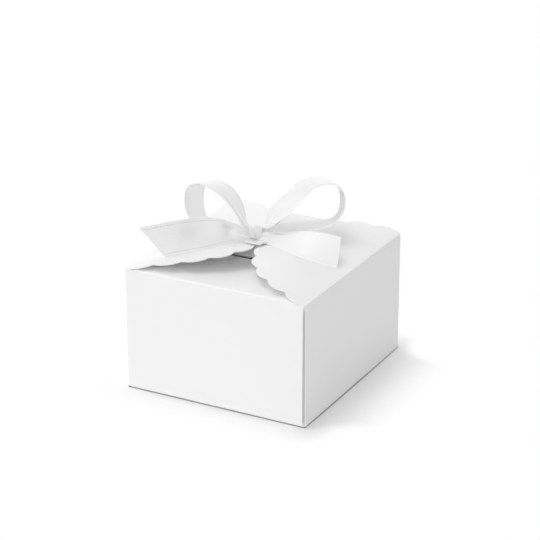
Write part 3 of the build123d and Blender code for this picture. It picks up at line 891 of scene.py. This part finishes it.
# floor, light and camera
studio = {
    "target": (1.613 * mm, 0, 37.771 * mm), "azimuth": 28.016, "elevation": 22.203, "away": 720 * mm,
    "lens": 135.726, "sensor": 36.0, "clip": (0.05, 20), "dome": 0.345, "lampAim": 30 * mm,
    "lamps": {      # direction from the box, size, power
        "cameraLamp": ((0.40, -0.84, 0.36), 0.7, 1.7),
        "frontLamp": ((0.10, -0.70, 0.70), 0.8, 1.4),
        "leftLamp": ((-0.45, -0.15, 0.88), 0.5, 0.4),
        "overheadLamp": ((-0.30, 0.05, 0.95), 0.8, 3.1),
        "leftCard": ((-0.85, -0.45, 0.30), 0.9, 2.4),
        "rightCard": ((0.80, 0.55, 0.21), 0.4, 0.5),
        "backLamp": ((-0.25, 0.92, 0.30), 0.9, 2.1),
    },
}
paving = {
    # foot: painted soft shadow along the front and rear feet; contact: painted dark shadow where the box stands
    "half": 4, "drop": 0.05 * mm, "white": grey(0.97), "foot": grey(0.84), "paintedContactShadow": grey(0.42), "haze": 0.12,
    "sweep": (1 * mm, 26 * mm),     # it turns into the white background over this stretch
    "nearEnd": 14 * mm, "farEnd": (9 * mm, 6 * mm), "nearPinch": 1.1, "farPinch": 4.0, "aheadPinch": 1.9,
    "footEdge": 0.2 * mm, "footFade": (-1 * mm, 5 * mm), "footEnds": (14 * mm, 1 * mm), "paintedContactWidth": 0.8 * mm,
}


def seenRay(board):     # rays that show the background: camera, glossy and transmission
    path = board.add("ShaderNodeLightPath", out="Is Camera Ray")
    return path.larger(path.out("Is Glossy Ray")).larger(path.out("Is Transmission Ray"))


def makeWorld():
    world = bpy.data.worlds.new("studio")
    world.use_nodes = True
    world.node_tree.nodes.clear()
    board = NodeBoard(world.node_tree)
    light = board.add("ShaderNodeBackground", None, {"Color": grey(1), "Strength": studio["dome"]})
    backdrop = board.add("ShaderNodeBackground", None, {"Color": grey(1), "Strength": 1.0})
    mixed = board.add("ShaderNodeMixShader", None, {0: seenRay(board), 1: light, 2: backdrop})
    board.add("ShaderNodeOutputWorld", None, {"Surface": mixed})
    bpy.context.scene.world = world


def makeFloor():
    mesh = bpy.data.meshes.new("studioFloor")
    half, level = paving["half"], -paving["drop"]
    corners = [(x * half, y * half, level) for x, y in ((-1, -1), (1, -1), (1, 1), (-1, 1))]
    mesh.from_pydata(corners, [], [[0, 1, 2, 3]])
    material, board = newMaterial("paleFloor")
    where = board.add("ShaderNodeTexCoord", out="Object")
    x = board.add("ShaderNodeSeparateXYZ", None, {0: where}, out="X")
    y, sideX, endY = x.out("Y"), halfWidth * mm, halfDepth * mm
    pastX, pastY = (abs(x) - sideX).larger(0), (abs(y) - endY).larger(0)
    near = 1 - board.band(y, -endY, paving["nearEnd"] - endY)
    far = board.band(y, endY - paving["farEnd"][0], endY + paving["farEnd"][1])
    beside = pastX * (1 + near * paving["nearPinch"] + far * paving["farPinch"])    # narrower at the wall's ends
    ahead = pastY * paving["aheadPinch"]
    away = (beside * beside + ahead * ahead).root()     # from the box's foot
    # painted soft shadow on the floor along the feet
    foot = board.band(pastY, 0, paving["footEdge"]) * (1 - board.band(pastY, *paving["footFade"]))
    ends = (sideX - paving["footEnds"][0], sideX + paving["footEnds"][1])
    foot = foot * (1 - board.band(abs(x), *ends))       # painted soft shadow before and behind the box
    seen = board.blendColour(foot, paving["white"], paving["foot"])
    # painted dark contact shadow at and under the box's foot
    seen = board.blendColour(board.band(away, 0, paving["paintedContactWidth"]), paving["paintedContactShadow"], seen)
    plain = board.add("ShaderNodeBsdfDiffuse", None, {"Color": paving["white"]})
    shaded = board.add("ShaderNodeBsdfDiffuse", None, {"Color": seen})
    white = board.add("ShaderNodeEmission", None, {"Color": grey(1), "Strength": 1.0})
    haze = board.band(y, 0, endY) * paving["haze"]      # the far end is lighter
    sweep = haze + board.band(away, *paving["sweep"]) * (1 - haze)
    swept = board.add("ShaderNodeMixShader", None, {0: sweep, 1: shaded, 2: white})
    mixed = board.add("ShaderNodeMixShader", None, {0: seenRay(board), 1: plain, 2: swept})
    below = board.add("ShaderNodeNewGeometry", out="Backfacing")        # clear from below, where the base shows
    clear = board.add("ShaderNodeBsdfTransparent")
    sided = board.add("ShaderNodeMixShader", None, {0: below, 1: mixed, 2: clear})
    board.add("ShaderNodeOutputMaterial", None, {"Surface": sided})
    mesh.materials.append(material)
    floor = addObject("studioFloor", mesh)


def addLamp(name, direction, size, power):       # a round soft box, a metre away
    lamp = bpy.data.lights.new(name, "AREA")
    lamp.shape, lamp.size, lamp.energy = "DISK", size, power
    holder = addObject(name, lamp)
    away = Vector(direction).normalized()
    holder.location = away + Vector((0, 0, studio["lampAim"]))
    holder.rotation_euler = (-away).to_track_quat("-Z", "Y").to_euler()


def addCamera():
    lens = bpy.data.cameras.new("photoCamera")
    lens.sensor_width, lens.lens = studio["sensor"], studio["lens"]
    lens.clip_start, lens.clip_end = studio["clip"]
    camera = addObject("photoCamera", lens)
    azimuth, elevation = math.radians(studio["azimuth"]), math.radians(studio["elevation"])
    back = Vector((math.sin(azimuth) * math.cos(elevation), -math.cos(azimuth) * math.cos(elevation),
                   math.sin(elevation)))
    camera.location = Vector(studio["target"]) + back * studio["away"]
    camera.rotation_euler = (-back).to_track_quat("-Z", "Y").to_euler()
    bpy.context.scene.camera = camera


makeWorld()
makeFloor()
for name, (direction, size, power) in studio["lamps"].items():
    addLamp(name, direction, size, power)
addCamera()
bpy.context.scene.view_settings.view_transform = "Standard"
cycles = bpy.context.scene.cycles
cycles.diffuse_bounces = cycles.max_bounces     # light between the white lid and flaps
print("stage done")
